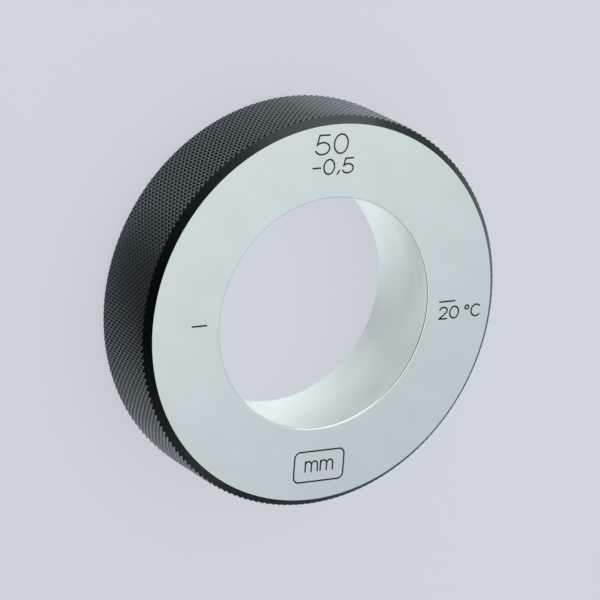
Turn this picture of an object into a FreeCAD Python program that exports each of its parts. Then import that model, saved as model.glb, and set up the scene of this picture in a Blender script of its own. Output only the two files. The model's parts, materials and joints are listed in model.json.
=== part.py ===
import FreeCAD, Part

import math
import os

import Sketcher

# Setting ring with a 50 mm bore, the reference that internal measuring
# instruments are set to. It is one piece of hardened steel: two ground faces,
# a lapped bore with a small chamfer at each end, and a rim that is diamond
# knurled between two turned chamfers. It lies on its rear face. The origin is
# on the bore's axis in that face, +Z runs along the axis to the marked front
# face, and +Y points to the place of the size marking.

# Driving dimensions in millimetres and degrees: name, value and meaning
DIMENSIONS = [
    ("bore_diameter", 50.0, "lapped bore, the nominal size of the ring"),
    ("bore_chamfer", 0.3, "45 degree chamfer at each end of the bore"),
    ("wall_thickness", 17.5, "from the bore out to the knurl's crests, on 85 mm"),
    ("ring_width", 20.0, "from the rear face to the front face"),
    ("rim_chamfer", 1.75, "45 degree chamfer from the crests down to each face"),
    ("knurl_depth", 0.45, "from the crests down to where the grooves cross"),
    ("knurl_grooves", 132.0, "grooves of each hand, counted round the rim"),
    ("knurl_angle", 45.0, "between a groove and the ring's axis"),
    ("turning_allowance", 0.1, "metal on the turned rim that knurling takes off"),
]

NODE_NAME = "setting_ring"
SHEET_NAME = "Dimensions"
SEWING_TOLERANCE = 1e-4

# The sketcher's own numbers for the origin and for the start and end of a line
ORIGIN, X_AXIS = -1, -1
START, END = 1, 2

# Lines of the ring's half section, in order, each named by where it runs
(
    REAR_FACE,
    REAR_RIM_CHAMFER,
    RIM,
    FRONT_RIM_CHAMFER,
    FRONT_FACE,
    FRONT_BORE_CHAMFER,
    BORE,
    REAR_BORE_CHAMFER,
) = range(8)

# Rough corners that the half section is drawn through, one for each line's
# start. The constraints then pull them to size.
ROUGH_CORNERS = [(30, 0), (40, 0), (42, 2), (42, 18), (40, 20), (30, 20), (25, 18), (25, 2)]

# Where each corner of the half section lies: constraint, the line that starts
# there, direction of the distance from the origin, and its formula
CORNER_DISTANCES = [
    ("face_inner_radius", REAR_FACE, "DistanceX", "{0}.bore_diameter / 2 + {0}.bore_chamfer"),
    ("face_outer_radius", REAR_RIM_CHAMFER, "DistanceX",
     "{0}.bore_diameter / 2 + {0}.wall_thickness - {0}.rim_chamfer"),
    ("turned_radius", RIM, "DistanceX",
     "{0}.bore_diameter / 2 + {0}.wall_thickness + {0}.turning_allowance"),
    ("bore_radius", BORE, "DistanceX", "{0}.bore_diameter / 2"),
    ("rim_start", RIM, "DistanceY", "{0}.rim_chamfer + {0}.turning_allowance"),
    ("rim_end", FRONT_RIM_CHAMFER, "DistanceY",
     "{0}.ring_width - {0}.rim_chamfer - {0}.turning_allowance"),
    ("front_height", FRONT_FACE, "DistanceY", "{0}.ring_width"),
    ("bore_end", BORE, "DistanceY", "{0}.ring_width - {0}.bore_chamfer"),
    ("bore_start", REAR_BORE_CHAMFER, "DistanceY", "{0}.bore_chamfer"),
]


def add_dimension_sheet(document):
    """Write the driving dimensions to a sheet, one named cell in each row."""
    sheet = document.addObject("Spreadsheet::Sheet", SHEET_NAME)
    for row, (name, value, meaning) in enumerate(DIMENSIONS, start=1):
        sheet.set(f"A{row}", name)
        sheet.set(f"B{row}", str(value))
        sheet.set(f"C{row}", meaning)
        sheet.setAlias(f"B{row}", name)
    document.recompute()
    return sheet


def origin_plane(body, role):
    """Find one of the body's own origin planes by its role."""
    return next(item for item in body.Origin.OriginFeatures if item.Role == role)


def draw_half_section(sketch):
    """Draw the turned ring's section beside the axis and tie it to the sheet."""
    corners = [FreeCAD.Vector(x, y, 0) for x, y in ROUGH_CORNERS]
    following = corners[1:] + corners[:1]
    for start, end in zip(corners, following):
        sketch.addGeometry(Part.LineSegment(start, end))
    line_count = len(corners)
    for line in range(line_count):
        next_line = (line + 1) % line_count
        sketch.addConstraint(Sketcher.Constraint("Coincident", line, END, next_line, START))
    for line in (REAR_FACE, FRONT_FACE):
        sketch.addConstraint(Sketcher.Constraint("Horizontal", line))
    for line in (RIM, BORE):
        sketch.addConstraint(Sketcher.Constraint("Vertical", line))
    sketch.addConstraint(Sketcher.Constraint("PointOnObject", REAR_FACE, START, X_AXIS))
    for rear_point, front_point in (
        ((REAR_FACE, START), (FRONT_FACE, END)),
        ((REAR_FACE, END), (FRONT_FACE, START)),
    ):
        sketch.addConstraint(Sketcher.Constraint("Vertical", *rear_point, *front_point))
    for name, line, direction, formula in CORNER_DISTANCES:
        distance = Sketcher.Constraint(direction, ORIGIN, START, line, START, 1.0)
        sketch.renameConstraint(sketch.addConstraint(distance), name)
        sketch.setExpression(f"Constraints.{name}", formula.format(SHEET_NAME))


def add_turned_ring(document):
    """Revolve the half section into the plain turned ring."""
    body = document.addObject("PartDesign::Body", "turned_ring")
    section = body.newObject("Sketcher::SketchObject", "half_section")
    section.AttachmentSupport = [(origin_plane(body, "XZ_Plane"), "")]
    section.MapMode = "FlatFace"
    draw_half_section(section)
    document.recompute()
    turning = body.newObject("PartDesign::Revolution", "turning")
    turning.Profile = section
    turning.ReferenceAxis = (section, ["V_Axis"])
    turning.Angle = 360.0
    body.Tip = turning
    document.recompute()
    return body


def crest_radius(sheet):
    """Radius of the rim over the knurl's crests."""
    return sheet.bore_diameter / 2 + sheet.wall_thickness


def knurl_rows(sheet):
    """Give the height and phase of each row of the knurl's lattice.

    A row's phase says which of its corners are crests, the even or the odd
    ones. The phase changes from row to row, which makes the diamonds. Only the
    first and last rows repeat their neighbour's, so that the teeth run out
    straight past the faces, where the ring's chamfers cut them.
    """
    column_step = math.pi * crest_radius(sheet) / sheet.knurl_grooves
    row_step = column_step / math.tan(math.radians(sheet.knurl_angle))
    run_out = sheet.rim_chamfer + sheet.turning_allowance
    span = sheet.ring_width - 2 * run_out
    steps = max(1, round(span / row_step))
    rows = [(run_out + span * step / steps, step % 2) for step in range(steps + 1)]
    first_row = (-run_out, rows[0][1])
    last_row = (sheet.ring_width + run_out, rows[-1][1])
    return [first_row, *rows, last_row]


def knurl_form(sheet):
    """Make the solid that the knurl leaves of a plain bar.

    Its side is a lattice of corners, twice as many in each row as there are
    grooves of one hand. Crests alternate with crossings of the grooves, along
    the rows and across them.
    """
    crest = crest_radius(sheet)
    root = crest - sheet.knurl_depth
    columns = 2 * int(sheet.knurl_grooves)
    rows = knurl_rows(sheet)
    corners = []
    for height, phase in rows:
        for column in range(columns):
            radius = crest if (column + phase) % 2 == 0 else root
            angle = 2 * math.pi * column / columns
            corners.append(FreeCAD.Vector(radius * math.cos(angle), radius * math.sin(angle), height))

    diamond_facets = []
    straight_flanks = []
    for row in range(len(rows) - 1):
        straight = rows[row][1] == rows[row + 1][1]
        for column in range(columns):
            near = row * columns + column
            beside = row * columns + (column + 1) % columns
            above = near + columns
            above_beside = beside + columns
            if straight:
                flank = [corners[index] for index in (near, beside, above_beside, above, near)]
                straight_flanks.append(Part.Face(Part.makePolygon(flank)))
            elif (column + rows[row][1]) % 2 == 0:
                # The crossings are at beside and above, and the facets meet on that line
                diamond_facets.append((near, beside, above))
                diamond_facets.append((beside, above_beside, above))
            else:
                diamond_facets.append((near, beside, above_beside))
                diamond_facets.append((near, above_beside, above))

    diamonds = Part.Shape()
    diamonds.makeShapeFromMesh((corners, diamond_facets), SEWING_TOLERANCE)
    ends = []
    for row_corners in (corners[:columns], corners[-columns:]):
        ends.append(Part.Face(Part.makePolygon(row_corners + row_corners[:1])))
    skin = Part.Compound(diamonds.Faces + straight_flanks + ends)
    skin.sewShape()
    form = Part.Solid(Part.Shell(skin.Faces))
    if form.Volume < 0:
        form.reverse()
    return form


def add_knurled_ring(document, sheet, turned_ring):
    """Knurl the rim: keep what the turned ring and the knurl's form share."""
    form = document.addObject("Part::Feature", "knurl_form")
    form.Shape = knurl_form(sheet)
    ring = document.addObject("Part::Common", NODE_NAME)
    ring.Label = NODE_NAME
    ring.Base = turned_ring
    ring.Tool = form
    ring.Refine = False
    ring.Placement = FreeCAD.Placement()
    document.recompute()
    return ring


def check_model(document, ring, turned_ring):
    """Stop if an object failed or the knurl didn't cut the rim."""
    for item in document.Objects:
        if "Invalid" in item.State or "Error" in item.State:
            raise RuntimeError(f"{item.Label} failed: {item.State}")
    shape = ring.Shape
    if shape.isNull() or not shape.isValid() or len(shape.Solids) != 1:
        raise RuntimeError(f"{ring.Label} isn't one valid solid")
    if not 0 < shape.Volume < turned_ring.Shape.Volume:
        raise RuntimeError(f"{ring.Label} wasn't knurled")


def main():
    document = FreeCAD.newDocument("SettingRing")
    sheet = add_dimension_sheet(document)
    turned_ring = add_turned_ring(document)
    ring = add_knurled_ring(document, sheet, turned_ring)
    check_model(document, ring, turned_ring)
    os.makedirs("parts", exist_ok=True)
    ring.Shape.exportStep(f"parts/{ring.Label}.step")


main()
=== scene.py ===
"""Looks of a 50 mm setting ring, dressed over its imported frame.

The real ring is one piece of hardened steel, so one closed mesh stands for it.
Its rim is knurled and black, its faces are ground, its bore is lapped and its
marks are engraved and black. Everything is in metres and in the frame of the
CAD model: the ring lies on its rear face, +Z runs along the bore's axis to the
marked face, and +Y points to the size marking.
"""

import json
import logging
import math
from collections.abc import Iterable, Sequence
from dataclasses import dataclass
from enum import Enum

import bmesh
import bpy
import numpy as np
from mathutils import Matrix, Vector
from mathutils.geometry import delaunay_2d_cdt


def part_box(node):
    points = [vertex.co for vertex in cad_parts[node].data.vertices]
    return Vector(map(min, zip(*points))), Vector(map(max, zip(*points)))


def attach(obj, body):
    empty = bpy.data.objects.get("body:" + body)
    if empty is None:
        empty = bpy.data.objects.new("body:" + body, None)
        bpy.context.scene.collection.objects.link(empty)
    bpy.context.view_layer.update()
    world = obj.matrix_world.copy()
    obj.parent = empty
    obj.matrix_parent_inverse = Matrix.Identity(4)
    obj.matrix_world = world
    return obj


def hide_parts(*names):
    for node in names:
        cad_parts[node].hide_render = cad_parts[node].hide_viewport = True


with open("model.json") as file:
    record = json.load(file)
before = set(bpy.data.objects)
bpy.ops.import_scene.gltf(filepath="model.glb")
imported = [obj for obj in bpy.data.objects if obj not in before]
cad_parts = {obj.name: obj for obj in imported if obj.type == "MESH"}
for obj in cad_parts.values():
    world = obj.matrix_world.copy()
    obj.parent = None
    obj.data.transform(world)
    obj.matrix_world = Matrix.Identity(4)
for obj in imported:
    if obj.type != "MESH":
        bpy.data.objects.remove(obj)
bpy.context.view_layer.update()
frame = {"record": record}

log = logging.getLogger("setting_ring")

MM = 0.001
MICRON = 0.000001
FULL_TURN = 2 * math.pi

# The four quarters of a square, as signs of X and Y
QUARTERS = ((1, 1), (-1, 1), (-1, -1), (1, -1))

RING_NODE = "setting_ring"
BODY = "root"

Colour = tuple[float, float, float]
Point = tuple[float, float]
Span = tuple[float, float]
Grain = tuple[float, float]
Stroke = list[Point]
Loop = list[Vector]
Socket = bpy.types.NodeSocket
Material = bpy.types.Material


class Surface(Enum):
    """Surfaces of the ring, each with a finish of its own."""

    GROUND_FACE = 0
    LAPPED_BORE = 1
    KNURL = 2
    TURNED_CHAMFER = 3
    ENGRAVING = 4


class End(Enum):
    """The two ends of the ring, each with the way that it faces along +Z."""

    REAR = -1
    FRONT = 1


@dataclass(frozen=True)
class RingSizes:
    """Sizes that every surface of the ring keeps to, in metres."""

    crest_radius: float
    width: float
    bore_radius: float
    bore_chamfer: float
    rim_chamfer: float = 1.75 * MM
    knurl_depth: float = 0.36 * MM

    @classmethod
    def from_frame(cls, record: dict) -> "RingSizes":
        """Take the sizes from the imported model.

        Args:
            record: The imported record, whose bore mount gives the wall of the bore.

        Returns:
            The sizes of the ring as it was packed.
        """
        lowest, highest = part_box(RING_NODE)
        bore = next(mount for mount in record["mounts"] if mount["name"] == "bore")
        width = highest.z - lowest.z
        return cls(
            crest_radius=highest.x,
            width=width,
            bore_radius=bore["dims"]["r_mm"] * MM,
            bore_chamfer=(width - bore["dims"]["length_mm"] * MM) / 2,
        )

    @property
    def face_radius(self) -> float:
        """Outer radius of the two ground faces."""
        return self.crest_radius - self.rim_chamfer

    @property
    def face_inner_radius(self) -> float:
        """Inner radius of the two ground faces."""
        return self.bore_radius + self.bore_chamfer

    def height_of(self, end: End) -> float:
        """Height of the face at one end of the ring."""
        return self.width if end is End.FRONT else 0.0


def on_circle(radius: float, angle: float, height: float) -> Vector:
    """Point on a circle round the ring's axis."""
    return Vector((radius * math.cos(angle), radius * math.sin(angle), height))


def direction(azimuth: float, elevation: float = 0.0) -> Vector:
    """Direction at an azimuth from +X and an elevation, both in degrees."""
    rise = math.radians(elevation)
    return on_circle(math.cos(rise), math.radians(azimuth), math.sin(rise))


def heading(start: Point, end: Point) -> float:
    """Angle from +X at which a line runs from one point to another."""
    return math.atan2(end[1] - start[1], end[0] - start[0])


def add_object(name: str, data: bpy.types.ID) -> bpy.types.Object:
    """Put a mesh, a lamp or a camera into the scene, at the origin."""
    item = bpy.data.objects.new(name, data)
    bpy.context.scene.collection.objects.link(item)
    return item


class RingShell:
    """The one closed mesh of the ring, put together from its surfaces."""

    MERGE_DISTANCE = 1 * MICRON
    SMOOTH_ANGLE = math.radians(35)

    def __init__(self) -> None:
        """Start with an empty mesh."""
        self.mesh = bmesh.new()

    def add_faces(
        self,
        points: Iterable[Sequence[float]],
        polygons: Iterable[Sequence[int]],
        surfaces: Iterable[Surface],
        smooth: bool,
    ) -> None:
        """Add faces that share a list of corners.

        Args:
            points: Corners in metres.
            polygons: Each face as numbers of its corners.
            surfaces: The surface that each face belongs to.
            smooth: Whether the faces are shaded as one curved surface.
        """
        corners = [self.mesh.verts.new(point) for point in points]
        for polygon, surface in zip(polygons, surfaces):
            face = self.mesh.faces.new([corners[number] for number in polygon])
            face.material_index = surface.value
            face.smooth = smooth

    def add_bands(self, loops: Sequence[Loop], surface: Surface) -> None:
        """Join neighbouring loops of corners by smooth bands.

        Args:
            loops: Loops round the axis, all with the same number of corners.
            surface: The surface that the bands belong to.
        """
        count = len(loops[0])
        corners = [corner for loop in loops for corner in loop]
        strips = []
        for first in range(0, len(corners) - count, count):
            for number in range(count):
                here = first + number
                beside = first + (number + 1) % count
                strips.append((here, beside, beside + count, here + count))
        self.add_faces(corners, strips, [surface] * len(strips), smooth=True)

    def add_mesh(self, mesh: bpy.types.Mesh, surface: Surface) -> None:
        """Add a finished mesh of flat facets, then delete it."""
        known = len(self.mesh.faces)
        self.mesh.from_mesh(mesh)
        bpy.data.meshes.remove(mesh)
        self.mesh.faces.ensure_lookup_table()
        for face in self.mesh.faces[known:]:
            face.material_index = surface.value
            face.smooth = False

    def merge(self) -> None:
        """Join corners that lie on each other."""
        bmesh.ops.remove_doubles(self.mesh, verts=self.mesh.verts, dist=self.MERGE_DISTANCE)

    def open_edge(self, end: End, middle: float) -> Loop:
        """Find the corners along the open edge at one end.

        Args:
            end: The end of the ring that is looked at.
            middle: Height that parts the two ends.

        Returns:
            The corners in order round the axis.
        """
        corners = []
        for corner in self.mesh.verts:
            at_front = corner.co.z > middle
            if corner.is_boundary and at_front == (end is End.FRONT):
                corners.append(corner.co.copy())
        return sorted(corners, key=lambda place: math.atan2(place.y, place.x))

    def close(self) -> None:
        """Join the surfaces, turn their faces outwards and mark sharp edges.

        Raises:
            RuntimeError: If the mesh isn't one closed shell.
        """
        self.merge()
        bmesh.ops.dissolve_degenerate(self.mesh, edges=self.mesh.edges, dist=self.MERGE_DISTANCE)
        bmesh.ops.recalc_face_normals(self.mesh, faces=self.mesh.faces)
        if self.mesh.calc_volume(signed=True) < 0:
            bmesh.ops.reverse_faces(self.mesh, faces=self.mesh.faces)
        open_edges = sum(not edge.is_manifold for edge in self.mesh.edges)
        if open_edges:
            raise RuntimeError(f"the ring's mesh has {open_edges} open edges")
        for edge in self.mesh.edges:
            one, other = edge.link_faces
            curved = one.smooth and other.smooth and one.material_index == other.material_index
            edge.smooth = curved and edge.calc_face_angle() < self.SMOOTH_ANGLE

    def to_object(self, name: str) -> bpy.types.Object:
        """Turn the closed mesh into an object of the scene.

        Args:
            name: Name of the object and its mesh.

        Returns:
            The object, at the origin.
        """
        mesh = bpy.data.meshes.new(name)
        self.mesh.to_mesh(mesh)
        self.mesh.free()
        return add_object(name, mesh)


class NodeGraph:
    """A tree of nodes, with short calls to add them and join them."""

    def __init__(self, tree: bpy.types.NodeTree) -> None:
        """Take the tree that the nodes are added to."""
        self.tree = tree

    def _set(self, target: Socket, source: object) -> None:
        """Join a socket to an input, or set the input to a number or colour."""
        if isinstance(source, Socket):
            self.tree.links.new(source, target)
        elif target.type == "RGBA":
            target.default_value = (*source, 1.0)
        else:
            target.default_value = source

    def node(self, kind: str, *sources: object, **settings: object) -> bpy.types.Node:
        """Add a node.

        Args:
            kind: Type of the node.
            sources: A socket, a value or None for each input, in order.
            settings: Other settings of the node.

        Returns:
            The node, with its inputs joined.
        """
        node = self.tree.nodes.new(kind)
        for name, value in settings.items():
            setattr(node, name, value)
        for target, source in zip(node.inputs, sources):
            if source is not None:
                self._set(target, source)
        return node

    def fill(self, node: bpy.types.Node, **sources: object) -> bpy.types.Node:
        """Set or join inputs of a node by name, with _ for a space, and give the node."""
        names = {socket.name.replace(" ", "_").lower(): socket for socket in node.inputs}
        for name, source in sources.items():
            self._set(names[name], source)
        return node

    def math(self, operation: str, *sources: object) -> Socket:
        """Add one step of arithmetic and give its result."""
        return self.node("ShaderNodeMath", *sources, operation=operation).outputs[0]

    def vector(self, x: object = None, y: object = None, z: object = None) -> Socket:
        """Put three numbers together, each of them zero unless it is given."""
        return self.node("ShaderNodeCombineXYZ", x, y, z).outputs[0]

    def along(self, place: Socket, way: Vector) -> Socket:
        """Measure how far a place lies in one direction from the origin."""
        return self.node("ShaderNodeVectorMath", place, way, operation="DOT_PRODUCT").outputs["Value"]

    def spread(
        self, source: Socket, low: float = 0.0, high: float = 1.0, start: float = 0.3, end: float = 0.7
    ) -> Socket:
        """Map a value between start and end to one between low and high."""
        return self.node("ShaderNodeMapRange", source, start, end, low, high).outputs["Result"]


class CellLattice(NodeGraph):
    """Geometry Nodes tree that sets one cell round the axis, row over row."""

    INPUTS = (
        ("Cell", "NodeSocketGeometry"),
        ("Columns", "NodeSocketInt"),
        ("Rows", "NodeSocketInt"),
        ("First Row", "NodeSocketFloat"),
        ("Row Pitch", "NodeSocketFloat"),
        ("Finish", "NodeSocketMaterial"),
    )

    def __init__(self) -> None:
        """Build the tree with its named inputs."""
        super().__init__(bpy.data.node_groups.new("knurl_lattice", "GeometryNodeTree"))
        self.tree.is_modifier = True
        for name, kind in self.INPUTS:
            self.tree.interface.new_socket(name, in_out="INPUT", socket_type=kind)
        self.tree.interface.new_socket("Rim", in_out="OUTPUT", socket_type="NodeSocketGeometry")
        self._add_nodes()

    def _add_nodes(self) -> None:
        """Place the cells by number: columns round the axis, rows along it."""
        given = self.node("NodeGroupInput").outputs
        number = self.node("GeometryNodeInputIndex").outputs[0]
        total = self.math("MULTIPLY", given["Columns"], given["Rows"])
        column = self.math("FLOORED_MODULO", number, given["Columns"])
        row = self.math("FLOOR", self.math("DIVIDE", number, given["Columns"]))
        height = self.math("MULTIPLY_ADD", row, given["Row Pitch"], given["First Row"])
        step = self.math("DIVIDE", FULL_TURN, given["Columns"])
        turn = self.vector(z=self.math("MULTIPLY", column, step))
        rotation = self.node("FunctionNodeEulerToRotation", turn).outputs[0]

        line = self.fill(self.node("GeometryNodeMeshLine", mode="OFFSET"), count=total, offset=(0, 0, 0))
        points = self.node("GeometryNodeSetPosition", line.outputs[0], None, self.vector(z=height))
        copies = self.node("GeometryNodeInstanceOnPoints", points.outputs[0])
        self.fill(copies, instance=given["Cell"], rotation=rotation)
        real = self.node("GeometryNodeRealizeInstances", copies.outputs[0])
        dressed = self.node("GeometryNodeSetMaterial", real.outputs[0], None, given["Finish"])
        self.node("NodeGroupOutput", dressed.outputs[0])

    def run(self, cell: bpy.types.Mesh, **values: object) -> bpy.types.Mesh:
        """Run the tree on a cell.

        Args:
            cell: Mesh of the cell. It is deleted afterwards.
            values: The tree's inputs by name, with _ for a space.

        Returns:
            A plain mesh of all the copies.
        """
        carrier = add_object("cell", cell)
        modifier = carrier.modifiers.new("knurl", "NODES")
        modifier.node_group = self.tree
        for socket in self.tree.interface.items_tree:
            value = values.get(socket.name.replace(" ", "_").lower())
            if socket.in_out == "INPUT" and value is not None:
                modifier[socket.identifier] = value
        graph = bpy.context.evaluated_depsgraph_get()
        copies = bpy.data.meshes.new_from_object(carrier.evaluated_get(graph))
        carrier.modifiers.remove(modifier)
        bpy.data.objects.remove(carrier)
        bpy.data.meshes.remove(cell)
        return copies


@dataclass(frozen=True)
class KnurledRim:
    """The diamond knurl and the turned chamfers that cut it at both ends.

    A cell is one pitch wide and high, with a tooth's crest at its middle and at
    each corner, and the crossings of the grooves at the middles of its sides. It
    is laid out flat, as distance along the rim, height and lift from the crests,
    and then bent round the axis.
    """

    CUT_TOLERANCE = 0.1 * MICRON

    sizes: RingSizes
    grooves: int = 184
    groove_share: float = 0.10
    tip_share: float = 0.20
    blunting: float = 0.03

    @property
    def pitch(self) -> float:
        """Distance between crests, round the rim and along it."""
        return FULL_TURN * self.sizes.crest_radius / self.grooves

    @property
    def whole_rows(self) -> int:
        """Rows of whole cells that fit between the chamfers, always odd."""
        length = self.sizes.width / 2 - self.sizes.rim_chamfer
        return 2 * math.floor(length / self.pitch - 0.5) + 1

    def _flank(self, crest: Vector, crossings: Sequence[Vector]) -> list[Loop]:
        """Cut one side of a tooth into strips along its groove.

        Args:
            crest: Middle of the tooth, on the flat.
            crossings: The two ends of the groove's bottom beside it.

        Returns:
            The corners of each strip, from the groove up to the tip.
        """
        levels = (
            (0.0, 0.0),
            (self.groove_share, self.blunting),
            (1 - self.tip_share, 1 - self.blunting),
        )
        rungs = []
        for across, up in levels:
            rung = [crossing.lerp(crest, across) for crossing in crossings]
            for corner in rung:
                corner.z = -self.sizes.knurl_depth * (1 - up)
            rungs.append(rung)
        strips = []
        for low, high in zip(rungs, rungs[1:]):
            strips.append([low[0], low[1], high[1], high[0]])
        strips.append([rungs[-1][0], rungs[-1][1], crest.copy()])
        return strips

    def _flat_cell(self, height: float) -> bmesh.types.BMesh:
        """Lay out one whole cell on the flat, its middle at a height."""
        half = self.pitch / 2
        cell = bmesh.new()
        for side, up in QUARTERS:
            crossings = [Vector((side * half, height, 0)), Vector((0, height + up * half, 0))]
            crests = [Vector((0, height, 0)), Vector((side * half, height + up * half, 0))]
            for crest in crests:
                for strip in self._flank(crest, crossings):
                    cell.faces.new([cell.verts.new(corner) for corner in strip])
        bmesh.ops.remove_doubles(cell, verts=cell.verts, dist=RingShell.MERGE_DISTANCE)
        return cell

    def _trim(self, cell: bmesh.types.BMesh, end: End) -> None:
        """Cut a flat cell with the plane that bends into the chamfer's cone."""
        shoulder = self.sizes.height_of(end) - end.value * self.sizes.rim_chamfer
        bmesh.ops.bisect_plane(
            cell,
            geom=[*cell.verts, *cell.edges, *cell.faces],
            dist=self.CUT_TOLERANCE,
            plane_co=(0, shoulder, 0),
            plane_no=(0, end.value, 1),
            clear_outer=True,
        )

    def _bend(self, cell: bmesh.types.BMesh) -> bpy.types.Mesh:
        """Bend a flat cell round the ring's axis and give it as a mesh."""
        for corner in cell.verts:
            along, height, lift = corner.co
            angle = along / self.sizes.crest_radius
            corner.co = on_circle(self.sizes.crest_radius + lift, angle, height)
        mesh = bpy.data.meshes.new("cell")
        cell.to_mesh(mesh)
        cell.free()
        return mesh

    def _chamfer(self, shell: RingShell, end: End) -> None:
        """Turn the chamfer from the cut teeth down to the face."""
        cut = shell.open_edge(end, self.sizes.width / 2)
        height = self.sizes.height_of(end)
        foot = []
        for corner in cut:
            angle = math.atan2(corner.y, corner.x)
            foot.append(on_circle(self.sizes.face_radius, angle, height))
        shell.add_bands([cut, foot], Surface.TURNED_CHAMFER)

    def build(self, shell: RingShell, finish: Material) -> None:
        """Add the rim to the ring's mesh.

        Args:
            shell: The mesh that the rim is added to.
            finish: Material of the knurl.
        """
        lattice = CellLattice()
        middle = self.sizes.width / 2
        reach = (self.whole_rows - 1) / 2 * self.pitch
        rows = lattice.run(
            self._bend(self._flat_cell(0.0)),
            columns=self.grooves,
            rows=self.whole_rows,
            first_row=middle - reach,
            row_pitch=self.pitch,
            finish=finish,
        )
        shell.add_mesh(rows, Surface.KNURL)
        for end in End:
            cell = self._flat_cell(middle + end.value * (reach + self.pitch))
            self._trim(cell, end)
            row = lattice.run(self._bend(cell), columns=self.grooves, rows=1, finish=finish)
            shell.add_mesh(row, Surface.KNURL)
        shell.merge()
        for end in End:
            self._chamfer(shell, end)
        shell.merge()


@dataclass(frozen=True)
class LappedBore:
    """The wall of the bore, with its two ends rounded over."""

    sizes: RingSizes
    segments: int = 288
    edge_steps: int = 4

    def circle(self, radius: float, height: float) -> Loop:
        """Corners of one circle of the bore."""
        step = FULL_TURN / self.segments
        return [on_circle(radius, number * step, height) for number in range(self.segments)]

    def _section(self) -> list[Point]:
        """Give the bore's radius and height from the rear face to the front face.

        Returns:
            The corners of the section, with both ends of the bore rounded over.
        """
        sizes = self.sizes
        rear_edge = []
        for number in range(self.edge_steps + 1):
            angle = math.pi / 2 * number / self.edge_steps
            radius = sizes.face_inner_radius - sizes.bore_chamfer * math.sin(angle)
            rear_edge.append((radius, sizes.bore_chamfer * (1 - math.cos(angle))))
        front_edge = [(radius, sizes.width - height) for radius, height in reversed(rear_edge)]
        return [*rear_edge, *front_edge]

    def build(self, shell: RingShell) -> None:
        """Add the bore to the ring's mesh."""
        loops = [self.circle(radius, height) for radius, height in self._section()]
        shell.add_bands(loops, Surface.LAPPED_BORE)


@dataclass(frozen=True)
class Path:
    """Straight parts of an engraver's stroke, in shares of the glyph's box."""

    corners: tuple[Point, ...]

    def trace(self, steps: int) -> Stroke:
        """Give the corners, however many steps a curve takes."""
        return list(self.corners)


@dataclass(frozen=True)
class Arc:
    """A part of an ellipse, in shares of the glyph's box and degrees."""

    centre: Point
    radii: Point
    start: float
    end: float

    def trace(self, steps: int) -> Stroke:
        """Give points along the arc, from its start to its end.

        Args:
            steps: Points on a full turn.

        Returns:
            The points, both ends among them.
        """
        turn = math.radians(self.end - self.start)
        count = max(2, math.ceil(steps * abs(turn) / FULL_TURN))
        points = []
        for number in range(count + 1):
            angle = math.radians(self.start) + turn * number / count
            across = self.centre[0] + self.radii[0] * math.cos(angle)
            up = self.centre[1] + self.radii[1] * math.sin(angle)
            points.append((across, up))
        return points


@dataclass(frozen=True)
class Glyph:
    """One engraved figure: its width for a height of one, and its strokes."""

    width: float
    strokes: tuple[tuple[Path | Arc, ...], ...]


# Single-line figures, as an engraving machine cuts them
GLYPHS = {
    "0": Glyph(0.8, ((Arc((0.5, 0.5), (0.5, 0.5), 90, 450),),)),
    "2": Glyph(0.72, ((Arc((0.5, 0.7), (0.48, 0.3), 165, -32), Path(((0.0, 0.0), (1.0, 0.0)))),)),
    "5": Glyph(
        0.8,
        ((
            Path(((0.95, 1.0), (0.22, 1.0), (0.08, 0.49))),
            Arc((0.48, 0.31), (0.52, 0.31), 143, -157),
        ),),
    ),
    "C": Glyph(0.8, ((Arc((0.56, 0.5), (0.56, 0.5), 48, 312),),)),
    "m": Glyph(
        0.9,
        (
            (Path(((0.0, 0.68), (0.0, 0.0))),),
            (Path(((0.0, 0.4),)), Arc((0.25, 0.42), (0.25, 0.26), 180, 0), Path(((0.5, 0.0),))),
            (Path(((0.5, 0.4),)), Arc((0.75, 0.42), (0.25, 0.26), 180, 0), Path(((1.0, 0.0),))),
        ),
    ),
    "°": Glyph(0.34, ((Arc((0.5, 0.83), (0.5, 0.17), 90, 450),),)),
    "-": Glyph(0.57, ((Path(((0.0, 0.46), (1.0, 0.46))),),)),
    ",": Glyph(0.14, ((Path(((1.0, 0.2), (0.0, -0.04))),),)),
    " ": Glyph(0.1, ()),
}


@dataclass(frozen=True)
class MarkLine:
    """A row of engraved figures, in millimetres on the front face."""

    text: str
    left: float
    foot: float
    height: float
    gap: float = 0.26
    widening: float = 1.0
    arc_steps: int = 36

    def strokes(self) -> list[Stroke]:
        """Lay the figures side by side.

        Returns:
            The middle line of each stroke.
        """
        strokes = []
        left = self.left
        for letter in self.text:
            glyph = GLYPHS[letter]
            width = glyph.width * self.height * self.widening
            for parts in glyph.strokes:
                points = [point for part in parts for point in part.trace(self.arc_steps)]
                strokes.append([(left + x * width, self.foot + y * self.height) for x, y in points])
            left += width + self.gap * self.height
        return strokes


@dataclass(frozen=True)
class MarkFrame:
    """A rounded rectangle round a mark, in millimetres on the front face."""

    centre: Point
    width: float
    height: float
    corner: float
    arc_steps: int = 32

    def strokes(self) -> list[Stroke]:
        """Give the frame's middle line as one closed stroke."""
        points = []
        for quarter, (side, up) in enumerate(QUARTERS):
            middle = (
                self.centre[0] + side * (self.width / 2 - self.corner),
                self.centre[1] + up * (self.height / 2 - self.corner),
            )
            bend = Arc(middle, (self.corner, self.corner), 90 * quarter, 90 * quarter + 90)
            points.extend(bend.trace(self.arc_steps))
        return [[*points, points[0]]]


@dataclass(frozen=True)
class MarkTick:
    """A short straight line beside the bore, in millimetres on the front face."""

    start: Point
    end: Point

    def strokes(self) -> list[Stroke]:
        """Give the line as one stroke."""
        return [[self.start, self.end]]


Mark = MarkLine | MarkFrame | MarkTick


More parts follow.
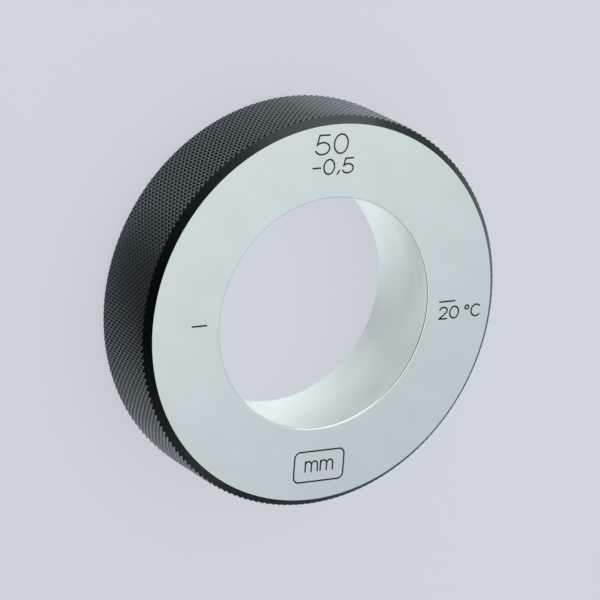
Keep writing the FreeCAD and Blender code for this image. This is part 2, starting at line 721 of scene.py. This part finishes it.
class Engraving:
    """The outlines and the depth of the engraved marks, in millimetres."""

    SHARP_TURN = math.radians(25)
    FAN_STEP = math.radians(30)
    REPEAT_DISTANCE = 0.01
    CLOSING_DISTANCE = 0.02

    def __init__(self, marks: Iterable[Mark], width: float, depth: float) -> None:
        """Gather the strokes of all the marks.

        Args:
            marks: The marks to engrave.
            width: Width of the cutter's groove.
            depth: Depth of the groove at its middle.
        """
        self.width = width
        self.depth = depth
        self.strokes = [self._even(points) for mark in marks for points in mark.strokes()]
        starts = [point for points in self.strokes for point in points[:-1]]
        ends = [point for points in self.strokes for point in points[1:]]
        self._starts = np.array(starts)
        self._runs = np.array(ends) - self._starts

    def _even(self, points: Stroke) -> Stroke:
        """Drop points of a stroke that repeat the one before."""
        kept = points[:1]
        for point in points[1:]:
            if math.dist(point, kept[-1]) > self.REPEAT_DISTANCE:
                kept.append(point)
        return kept

    def distance(self, places: np.ndarray) -> np.ndarray:
        """Measure how far places on the face are from the nearest stroke.

        Args:
            places: One row of x and y for each place.

        Returns:
            The distances to the strokes' middle lines.
        """
        nearest = np.full(len(places), np.inf)
        for start, run in zip(self._starts, self._runs):
            offset = places - start
            share = np.clip(offset @ run / (run @ run), 0, 1)
            nearest = np.minimum(nearest, np.linalg.norm(offset - np.outer(share, run), axis=1))
        return nearest

    def sink(self, distance: float) -> float:
        """Depth of the groove's rounded section at a distance from its middle."""
        share = min(1.0, distance / (self.width / 2))
        return self.depth * (1 - share * share)

    def _normals(self, before: Point | None, here: Point, after: Point | None) -> list[float]:
        """Give the directions in which a stroke's side lies from one of its points.

        Args:
            before: The point before it, or None at the stroke's start.
            here: The point itself.
            after: The point after it, or None at the stroke's end.

        Returns:
            Angles from +X, more than one at a sharp corner and a half turn at an end.
        """
        if before is None:
            first, last = heading(here, after) + math.pi, heading(here, after) + math.pi / 2
        elif after is None:
            first, last = heading(before, here) + math.pi / 2, heading(before, here)
        else:
            first, last = heading(before, here) + math.pi / 2, heading(here, after) + math.pi / 2
        turn = math.remainder(last - first, FULL_TURN)
        at_end = before is None or after is None
        if not at_end and abs(turn) < self.SHARP_TURN:
            return [first + turn / 2]
        steps = max(1, math.ceil(abs(turn) / self.FAN_STEP))
        return [first + turn * step / steps for step in range(steps + 1)]

    def _side(self, points: Stroke, distance: float, closed: bool) -> Stroke:
        """Follow one side of a stroke at a distance from its middle line."""
        side = []
        last = len(points) - 1
        for number, here in enumerate(points):
            before = points[number - 1] if number > 0 or closed else None
            after = points[(number + 1) % len(points)] if number < last or closed else None
            for angle in self._normals(before, here, after):
                across = here[0] + distance * math.cos(angle)
                up = here[1] + distance * math.sin(angle)
                side.append((across, up))
        return side

    def outlines(self) -> list[Stroke]:
        """Give the lines that the face's triangles keep to.

        Returns:
            The middle line of each stroke, and its outline at a quarter and at half
            of the groove's width. The last point of each line is joined to the next.
        """
        lines = []
        for points in self.strokes:
            closed = math.dist(points[0], points[-1]) < self.CLOSING_DISTANCE
            if closed:
                points = points[:-1]
            lines.append([*points, points[0]] if closed else points)
            for distance in (self.width / 4, self.width / 2):
                left = self._side(points, distance, closed)
                if closed:
                    right = self._side(points, -distance, closed)
                    lines.extend(([*left, left[0]], [*right, right[0]]))
                else:
                    right = self._side(points[::-1], distance, closed)
                    lines.append([*left, *right, left[0]])
        return lines


@dataclass(frozen=True)
class GroundFace:
    """One of the two flat ground faces, with the marks that are cut in it.

    A mark's finish starts just inside the groove's edge, at a share of its width.
    """

    WELD_DISTANCE = 0.0005
    HOLE_MARGIN = 0.001
    FINISH_SHARE = 0.93

    sizes: RingSizes
    end: End
    engraving: Engraving

    def _lines(self, outer: Loop, inner: Loop) -> list[Stroke]:
        """Gather the closed edges of the face and the outlines of its marks."""
        lines = []
        for loop in (outer, inner):
            ring = [(corner.x / MM, corner.y / MM) for corner in loop]
            lines.append([*ring, ring[0]])
        return [*lines, *self.engraving.outlines()]

    def _triangulate(self, outer: Loop, inner: Loop) -> tuple[np.ndarray, list[Sequence[int]]]:
        """Fill the face with triangles that keep to its lines.

        Args:
            outer: Corners of the face's outer edge.
            inner: Corners of the bore's edge.

        Returns:
            The corners in millimetres, and the numbers of each triangle's corners.
        """
        points, edges = [], []
        for line in self._lines(outer, inner):
            first = len(points)
            points.extend(Vector(place) for place in line)
            edges.extend((number, number + 1) for number in range(first, len(points) - 1))
        corners, _, triangles, *_ = delaunay_2d_cdt(points, edges, [], 0, self.WELD_DISTANCE)
        hole = self.sizes.face_inner_radius / MM + self.HOLE_MARGIN
        inside = [corner.length < hole for corner in corners]
        kept = [triangle for triangle in triangles if not all(inside[corner] for corner in triangle)]
        return np.array(corners), kept

    def build(self, shell: RingShell, outer: Loop, inner: Loop) -> None:
        """Add the face to the ring's mesh.

        Args:
            shell: The mesh that the face is added to.
            outer: Corners of the chamfer's foot, in order round the axis.
            inner: Corners of the bore's edge, in order round the axis.
        """
        places, triangles = self._triangulate(outer, inner)
        sunk = [self.engraving.sink(value) for value in self.engraving.distance(places)]
        middles = np.array([places[list(triangle)].mean(axis=0) for triangle in triangles])
        cut = self.engraving.distance(middles) < self.engraving.width / 2 * self.FINISH_SHARE
        surfaces = [Surface.ENGRAVING if deep else Surface.GROUND_FACE for deep in cut]
        height = self.sizes.height_of(self.end)
        corners = [(x * MM, y * MM, height - depth * MM) for (x, y), depth in zip(places, sunk)]
        shell.add_faces(corners, triangles, surfaces, smooth=False)


def lighter(colour: Colour, share: float) -> Colour:
    """Make a colour lighter by a share, or darker by a negative one."""
    return tuple(value * (1 + share) for value in colour)


class ShaderGraph(NodeGraph):
    """A material's nodes, with one principled shader."""

    def __init__(self, name: str) -> None:
        """Start a material with its shader."""
        self.material = bpy.data.materials.new(name)
        self.material.use_nodes = True
        super().__init__(self.material.node_tree)
        self.tree.nodes.clear()
        self.shader = self.node("ShaderNodeBsdfPrincipled")
        self.output = self.node("ShaderNodeOutputMaterial", self.shader.outputs[0])
        self.place = self.node("ShaderNodeTexCoord").outputs["Object"]

    def blend(self, share: Socket, low: Colour | Socket, high: Colour | Socket) -> Socket:
        """Mix two colours by a share between 0 and 1."""
        node = self.node("ShaderNodeMix", share, data_type="RGBA")
        ends = {"A": low, "B": high}
        for socket in node.inputs:
            if socket.type == "RGBA":
                self._set(socket, ends[socket.name])
        return next(socket for socket in node.outputs if socket.type == "RGBA")

    def tint(self, share: Socket, colour: Colour, tints: Span) -> Socket:
        """Vary a colour between two lightened forms of it, negative for darker."""
        return self.blend(share, lighter(colour, tints[0]), lighter(colour, tints[1]))

    def grain(self, place: Socket, grains: Grain, turn: float = 0.0, detail: float = 3.0) -> Socket:
        """Add noise whose grains have a given size.

        Args:
            place: Coordinates in metres.
            grains: Size of a grain along X and Z, and along Y, in metres.
            turn: Angle that the grains are turned by about Z, in degrees.
            detail: Octaves of finer noise.

        Returns:
            The noise, mostly between 0.3 and 0.7.
        """
        length, breadth = grains
        turned = self.node("ShaderNodeMapping")
        self.fill(turned, vector=place, rotation=(0, 0, math.radians(turn)))
        scaled = self.node("ShaderNodeMapping")
        self.fill(scaled, vector=turned.outputs[0], scale=(1 / length, 1 / breadth, 1 / length))
        noise = self.node("ShaderNodeTexNoise")
        self.fill(noise, vector=scaled.outputs[0], scale=1.0, detail=detail)
        return noise.outputs[0]

    def polar(self, radius: float) -> tuple[Socket, Socket]:
        """Give coordinates that follow the ring's turned surfaces.

        Args:
            radius: Radius at which the distance round the axis is true.

        Returns:
            The distance round the axis, the height and the radius as one vector,
            and the radius by itself.
        """
        across, up, height = self.node("ShaderNodeSeparateXYZ", self.place).outputs
        angle = self.math("ARCTAN2", up, across)
        squares = self.math("MULTIPLY_ADD", across, across, self.math("MULTIPLY", up, up))
        distance = self.math("SQRT", squares)
        return self.vector(self.math("MULTIPLY", angle, radius), height, distance), distance

    def finish(self, pattern: Socket, height: float, **inputs: object) -> Material:
        """Fill the shader's inputs and bump the surface by a pattern.

        Args:
            pattern: The pattern of the bumps.
            height: Height of the bumps in metres.
            inputs: The shader's inputs by name, with _ for a space.

        Returns:
            The finished material.
        """
        bump = self.fill(self.node("ShaderNodeBump"), strength=1.0, distance=height, height=pattern)
        self.fill(self.shader, normal=bump.outputs[0], **inputs)
        return self.material


@dataclass(frozen=True)
class GroundSteel:
    """Ground steel of the faces: satin, with a fine lay and faint clouds."""

    colour: Colour = (0.675, 0.73, 0.715)
    tints: Span = (-0.025, 0.025)
    roughness: Span = (0.29, 0.37)
    lay: Grain = (6.0 * MM, 0.11 * MM)
    lay_turn: float = 38.0
    lay_share: float = 0.4
    lay_height: float = 0.8 * MICRON
    clouds: Grain = (11.0 * MM, 7.0 * MM)
    tone_range: Span = (0.45, 0.95)

    def build(self) -> Material:
        """Make the material."""
        graph = ShaderGraph("ground_steel")
        lay = graph.grain(graph.place, self.lay, turn=self.lay_turn)
        clouds = graph.grain(graph.place, self.clouds, turn=self.lay_turn, detail=2.0)
        mixed = graph.math("MULTIPLY_ADD", lay, self.lay_share, clouds)
        tone = graph.spread(mixed, 0.0, 1.0, *self.tone_range)
        return graph.finish(
            lay,
            self.lay_height,
            base_color=graph.tint(tone, self.colour, self.tints),
            metallic=1.0,
            roughness=graph.spread(lay, *self.roughness),
        )


@dataclass(frozen=True)
class LappedSteel:
    """Lapped steel of the bore: bright, with a very fine crossed lay."""

    sizes: RingSizes
    colour: Colour = (0.80, 0.855, 0.81)
    tints: Span = (-0.03, 0.03)
    roughness: Span = (0.15, 0.22)
    stretch: float = 0.75
    lay: Grain = (5.0 * MM, 0.07 * MM)
    lay_turn: float = 24.0
    lay_range: Span = (0.35, 0.65)
    lay_height: float = 0.3 * MICRON
    # Faint clouds of colour: partly random tone and partly painted reflection patches
    clouds: Grain = (9.0 * MM, 5.0 * MM)

    def build(self) -> Material:
        """Make the material, its gloss stretched along the ring's axis."""
        graph = ShaderGraph("lapped_steel")
        place, _ = graph.polar(self.sizes.bore_radius)
        rising = graph.grain(place, self.lay, turn=self.lay_turn)
        falling = graph.grain(place, self.lay, turn=-self.lay_turn)
        crossed = graph.math("MULTIPLY", graph.math("ADD", rising, falling), 0.5)
        # The clouds vary the bore's colour at random and also paint in patchy reflections
        clouds = graph.grain(place, self.clouds, detail=2.0)
        return graph.finish(
            crossed,
            self.lay_height,
            base_color=graph.tint(graph.spread(clouds), self.colour, self.tints),
            metallic=1.0,
            roughness=graph.spread(crossed, *self.roughness, *self.lay_range),
            anisotropic=self.stretch,
            tangent=graph.vector(z=1.0),
        )


@dataclass(frozen=True)
class KnurlOxide:
    """Black oxide on the knurl: dull in the pits and painted darker there as shade, and lighter at the
    crests, partly as rubbed wear and partly as a painted highlight.
    """

    sizes: RingSizes
    # The pit colour is painted shade. The crest colour is partly rubbed wear and partly a painted
    # highlight.
    pit: Colour = (0.0008, 0.0012, 0.0014)
    crest: Colour = (0.010, 0.015, 0.016)
    sheen: Colour = (0.76, 0.96, 1.0)
    index: float = 1.88
    roughness: Span = (0.13, 0.26)
    pit_roughness: float = 0.12
    pit_share: float = 0.4
    wear_and_highlight_patches: Grain = (2.5 * MM, 1.5 * MM)
    wear_and_highlight_range: Span = (0.6, 1.0)
    wear_and_highlight_power: float = 2.2
    speckle: Grain = (0.12 * MM, 0.12 * MM)
    speckle_height: float = 3 * MICRON

    def build(self) -> Material:
        """Make the material."""
        graph = ShaderGraph("knurl_oxide")
        crest = self.sizes.crest_radius
        place, radius = graph.polar(crest)
        lift = graph.spread(radius, 0.0, 1.0, crest - self.sizes.knurl_depth, crest)
        # Random patches of rubbed wear, which also break up the painted highlight on the crests
        wear_and_highlight_patches = graph.spread(graph.grain(place, self.wear_and_highlight_patches, detail=4.0), *self.wear_and_highlight_range)
        # The colour rises with height from the painted shade of the pits to the crests' lighter colour,
        # partly rubbed wear and partly a painted highlight
        share = graph.math("MULTIPLY", graph.math("POWER", lift, self.wear_and_highlight_power), wear_and_highlight_patches)
        speckle = graph.grain(place, self.speckle)
        dulling = graph.spread(lift, self.pit_roughness, 0.0, 0.0, self.pit_share)
        return graph.finish(
            speckle,
            self.speckle_height,
            base_color=graph.blend(share, self.pit, self.crest),
            roughness=graph.math("ADD", dulling, graph.spread(speckle, *self.roughness)),
            ior=self.index,
            specular_tint=self.sheen,
        )


@dataclass(frozen=True)
class TurnedOxide:
    """Black oxide on the turned chamfers, with fine rings from turning."""

    sizes: RingSizes
    colour: Colour = (0.002, 0.0035, 0.004)
    tints: Span = (-0.25, 0.35)
    sheen: Colour = (0.80, 0.98, 1.0)
    index: float = 1.5
    roughness: Span = (0.17, 0.29)
    rings: Grain = (24.0 * MM, 0.06 * MM)
    ring_height: float = 1.5 * MICRON
    clouds: Grain = (6.0 * MM, 3.0 * MM)

    def build(self) -> Material:
        """Make the material."""
        graph = ShaderGraph("turned_oxide")
        place, _ = graph.polar(self.sizes.crest_radius)
        rings = graph.grain(place, self.rings)
        clouds = graph.grain(place, self.clouds)
        return graph.finish(
            rings,
            self.ring_height,
            base_color=graph.tint(graph.spread(clouds), self.colour, self.tints),
            roughness=graph.spread(rings, *self.roughness),
            ior=self.index,
            specular_tint=self.sheen,
        )


@dataclass(frozen=True)
class EngravedBlack:
    """Matt black at the bottom of the engraved marks."""

    colour: Colour = (0.016, 0.018, 0.020)
    tints: Span = (-0.3, 0.6)
    roughness: Span = (0.52, 0.70)
    gloss: float = 0.3
    grit: Grain = (0.08 * MM, 0.08 * MM)
    grit_height: float = 4 * MICRON

    def build(self) -> Material:
        """Make the material."""
        graph = ShaderGraph("engraved_black")
        grit = graph.grain(graph.place, self.grit)
        return graph.finish(
            grit,
            self.grit_height,
            base_color=graph.tint(graph.spread(grit), self.colour, self.tints),
            roughness=graph.spread(grit, *self.roughness),
            specular_ior_level=self.gloss,
        )


@dataclass(frozen=True)
class SettingRing:
    """The whole ring: its sizes, its marks and its finishes."""

    sizes: RingSizes
    groove_width: float = 0.36
    groove_depth: float = 0.10
    marks: tuple[Mark, ...] = (
        MarkLine("50", left=-5.05, foot=34.5, height=4.1),
        MarkLine("-0,5", left=-5.4, foot=30.2, height=3.15, gap=0.25),
        MarkTick((-31.55, 0.05), (-28.2, 0.05)),
        MarkTick((28.2, 0.1), (31.95, 0.1)),
        MarkLine("20 °C", left=28.3, foot=-3.7, height=2.55, widening=1.06),
        MarkFrame((1.2, -33.4), width=12.0, height=6.7, corner=1.3),
        MarkLine("mm", left=-2.1, foot=-34.5, height=3.3, gap=0.22),
    )

    def build(self) -> bpy.types.Object:
        """Make the ring's one mesh and dress it.

        Returns:
            The finished piece, riding on the ring's body.
        """
        finishes = {
            Surface.GROUND_FACE: GroundSteel().build(),
            Surface.LAPPED_BORE: LappedSteel(self.sizes).build(),
            Surface.KNURL: KnurlOxide(self.sizes).build(),
            Surface.TURNED_CHAMFER: TurnedOxide(self.sizes).build(),
            Surface.ENGRAVING: EngravedBlack().build(),
        }
        shell = RingShell()
        KnurledRim(self.sizes).build(shell, finishes[Surface.KNURL])
        feet = {end: shell.open_edge(end, self.sizes.width / 2) for end in End}
        log.info("rim: %d corners on the front face's edge", len(feet[End.FRONT]))

        bore = LappedBore(self.sizes)
        bore.build(shell)
        for end in End:
            marks = self.marks if end is End.FRONT else ()
            engraving = Engraving(marks, self.groove_width, self.groove_depth)
            inner = bore.circle(self.sizes.face_inner_radius, self.sizes.height_of(end))
            GroundFace(self.sizes, end, engraving).build(shell, feet[end], inner)
        shell.close()

        piece = shell.to_object("marked_ring")
        for surface in Surface:
            piece.data.materials.append(finishes[surface])
        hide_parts(RING_NODE)
        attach(piece, BODY)
        log.info("%s: %d faces", piece.name, len(piece.data.polygons))
        return piece


@dataclass(frozen=True)
class PaleFloor:
    """The floor's paint, which keeps only a soft part of the ring's shadow.

    The camera sees an even tone mixed with the lit surface. Reflections see a
    brighter tone, which is weaker in a strip through the middle and falls off
    towards the dark sides of the room. Light that the floor throws on the ring
    comes from the lit surface alone.
    """

    seen: Colour = (0.677, 0.698, 0.747)
    mirrored: Colour = (1.10, 1.19, 1.24)
    middle_level: float = 0.58
    middle_reach: Span = (2 * MM, 22 * MM)
    paint: Colour = (0.74, 0.765, 0.82)
    paint_tints: Span = (-0.004, 0.004)
    paint_grain: Grain = (0.4, 0.4)
    roughness: float = 0.9
    gloss: float = 0.1
    evenness: float = 0.80
    bright_sides: float = 69.0
    dark_sides: tuple[float, float] = (180.0, 320.0)
    fading: Span = (40 * MM, 76 * MM)
    darkest: float = 0.04

    def _tone(self, graph: ShaderGraph, is_glossy: Socket) -> Socket:
        """Give the even tone that the camera or a reflection sees.

        Args:
            graph: The material's nodes.
            is_glossy: One for a reflection's ray, and zero for others.

        Returns:
            The colour.
        """
        reaches = [graph.along(graph.place, direction(side)) for side in self.dark_sides]
        away = graph.spread(graph.math("MAXIMUM", *reaches), 1.0, self.darkest, *self.fading)
        across = graph.math("ABSOLUTE", graph.along(graph.place, direction(self.bright_sides)))
        aside = graph.spread(across, self.middle_level, 1.0, *self.middle_reach)
        mirrored = graph.blend(graph.math("MULTIPLY", away, aside), (0.0, 0.0, 0.0), self.mirrored)
        return graph.blend(is_glossy, self.seen, mirrored)

    def build(self) -> Material:
        """Make the material."""
        graph = ShaderGraph("pale_floor")
        grain = graph.spread(graph.grain(graph.place, self.paint_grain, detail=2.0))
        graph.fill(
            graph.shader,
            base_color=graph.tint(grain, self.paint, self.paint_tints),
            roughness=self.roughness,
            specular_ior_level=self.gloss,
        )
        rays = graph.node("ShaderNodeLightPath").outputs
        glow = graph.node("ShaderNodeEmission", self._tone(graph, rays["Is Glossy Ray"]))
        direct = graph.math("ADD", rays["Is Camera Ray"], rays["Is Glossy Ray"])
        looked_at = graph.math("MINIMUM", graph.math("ADD", direct, rays["Is Transmission Ray"]), 1.0)
        share = graph.math("MULTIPLY", looked_at, self.evenness)
        mix = graph.node("ShaderNodeMixShader", share, graph.shader.outputs[0], glow.outputs[0])
        graph.fill(graph.output, surface=mix.outputs[0])
        return graph.material


@dataclass(frozen=True)
class SoftLamp:
    """A large soft lamp that points at the ring.

    Its brightness is what a white mirror would show of it.
    """

    name: str
    azimuth: float
    elevation: float
    distance: float
    width: float
    height: float
    brightness: float

    def build(self) -> None:
        """Hang the lamp."""
        light = bpy.data.lights.new(self.name, "AREA")
        light.shape = "RECTANGLE"
        light.size = self.width
        light.size_y = self.height
        light.energy = self.brightness * math.pi * self.width * self.height
        lamp = add_object(self.name, light)
        towards = direction(self.azimuth, self.elevation)
        lamp.location = towards * self.distance
        lamp.rotation_euler = towards.to_track_quat("Z", "Y").to_euler()


@dataclass(frozen=True)
class Studio:
    """The plain pale floor, the sky and the soft lamps."""

    floor_side: float = 6.0
    floor_gap: float = 0.02 * MM
    sky_colour: Colour = (0.90, 0.97, 1.04)
    sky_levels: Span = (0.63, 0.01)
    dark_side: float = 180.0
    fading: Span = (0.0, 0.85)
    lamps: tuple[SoftLamp, ...] = (
        SoftLamp("overhead", 35.0, 78.0, distance=0.6, width=0.72, height=0.72, brightness=0.52),
        SoftLamp("rim_side", 78.0, 12.0, distance=0.9, width=1.2, height=0.42, brightness=1.5),
    )

    def _build_floor(self) -> None:
        """Lay the floor just under the ring."""
        mesh = bpy.data.meshes.new("floor")
        half = self.floor_side / 2
        corners = [(side * half, up * half, -self.floor_gap) for side, up in QUARTERS]
        mesh.from_pydata(corners, [], [(0, 1, 2, 3)])
        mesh.materials.append(PaleFloor().build())
        floor = add_object("floor", mesh)

    def _build_sky(self) -> None:
        """Light the scene softly from all round, less from the dark side of the room."""
        world = bpy.data.worlds.new("studio")
        world.use_nodes = True
        graph = NodeGraph(world.node_tree)
        ray = graph.node("ShaderNodeTexCoord").outputs["Generated"]
        away = graph.along(ray, direction(self.dark_side))
        level = graph.spread(away, *self.sky_levels, *self.fading)
        graph.fill(graph.tree.nodes["Background"], color=self.sky_colour, strength=level)
        bpy.context.scene.world = world

    def build(self) -> None:
        """Make the floor, the sky and the lamps."""
        self._build_floor()
        self._build_sky()
        for lamp in self.lamps:
            lamp.build()
        bpy.context.scene.view_settings.view_transform = "Standard"


@dataclass(frozen=True)
class PhotoCamera:
    """The camera of the photograph, solved from the ring's ellipses.

    The photograph shows the ring held up. Here the ring lies on the floor, so the
    camera looks down on it from the same side and is rolled by the same angle.
    """

    aim: tuple[float, float, float] = (-0.231 * MM, 0.197 * MM, 10.0 * MM)
    distance: float = 900.33 * MM
    azimuth: float = 150.72
    elevation: float = 55.12
    roll: float = 118.78
    lens: float = 257.5
    sensor: float = 36.0
    clip: Span = (0.01, 50.0)

    def build(self) -> None:
        """Set up the camera and make it the scene's own."""
        data = bpy.data.cameras.new("photo_camera")
        data.lens = self.lens
        data.sensor_width = self.sensor
        data.clip_start, data.clip_end = self.clip
        camera = add_object("photo_camera", data)
        backwards = direction(self.azimuth, self.elevation)
        level = Vector((0, 0, 1)).cross(backwards).normalized()
        upright = backwards.cross(level)
        roll = math.radians(self.roll)
        right = level * math.cos(roll) + upright * math.sin(roll)
        up = upright * math.cos(roll) - level * math.sin(roll)
        placement = Matrix((right, up, backwards)).transposed().to_4x4()
        placement.translation = Vector(self.aim) + backwards * self.distance
        camera.matrix_world = placement
        bpy.context.scene.camera = camera


def main() -> None:
    """Build the camera, the studio and the ring."""
    logging.basicConfig(level=logging.INFO, format="%(name)s: %(message)s")
    PhotoCamera().build()
    Studio().build()
    SettingRing(RingSizes.from_frame(frame["record"])).build()


if __name__ == "__main__":
    main()
